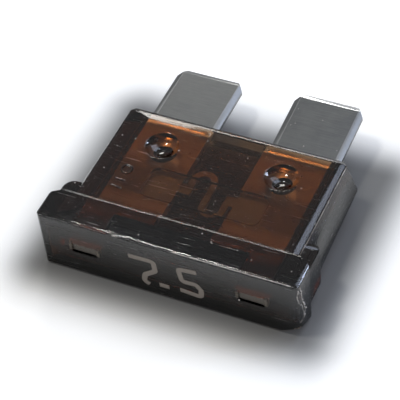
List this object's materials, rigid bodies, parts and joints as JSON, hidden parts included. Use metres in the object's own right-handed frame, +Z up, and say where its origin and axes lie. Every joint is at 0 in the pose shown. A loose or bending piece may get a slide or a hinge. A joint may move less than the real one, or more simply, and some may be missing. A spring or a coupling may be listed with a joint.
{
  "type": "automotive blade fuse",
  "caption": "Blade fuse with a see-through smoky brown housing, a T-shaped head, flat coined zinc blades and a thin bent link between them.",
  "frame": {"origin": "middle of the fuse's box, on the plane of the head's large lower face, which the fuse lies on", "axes": "+X across the head, +Y from the head to the blade tips, +Z up, square to the blades"},
  "size_m": [0.0194, 0.0186, 0.0051],
  "materials": {
    "smoky_plastic": "clear moulded plastic, tinted smoky brown, polished mould faces",
    "zinc": "rolled zinc alloy with fine brushing across the blades and coined edges"
  },
  "bodies": {
    "root": {"housing": "smoky_plastic", "fuse_element": "zinc"}
  },
  "joints": []
}
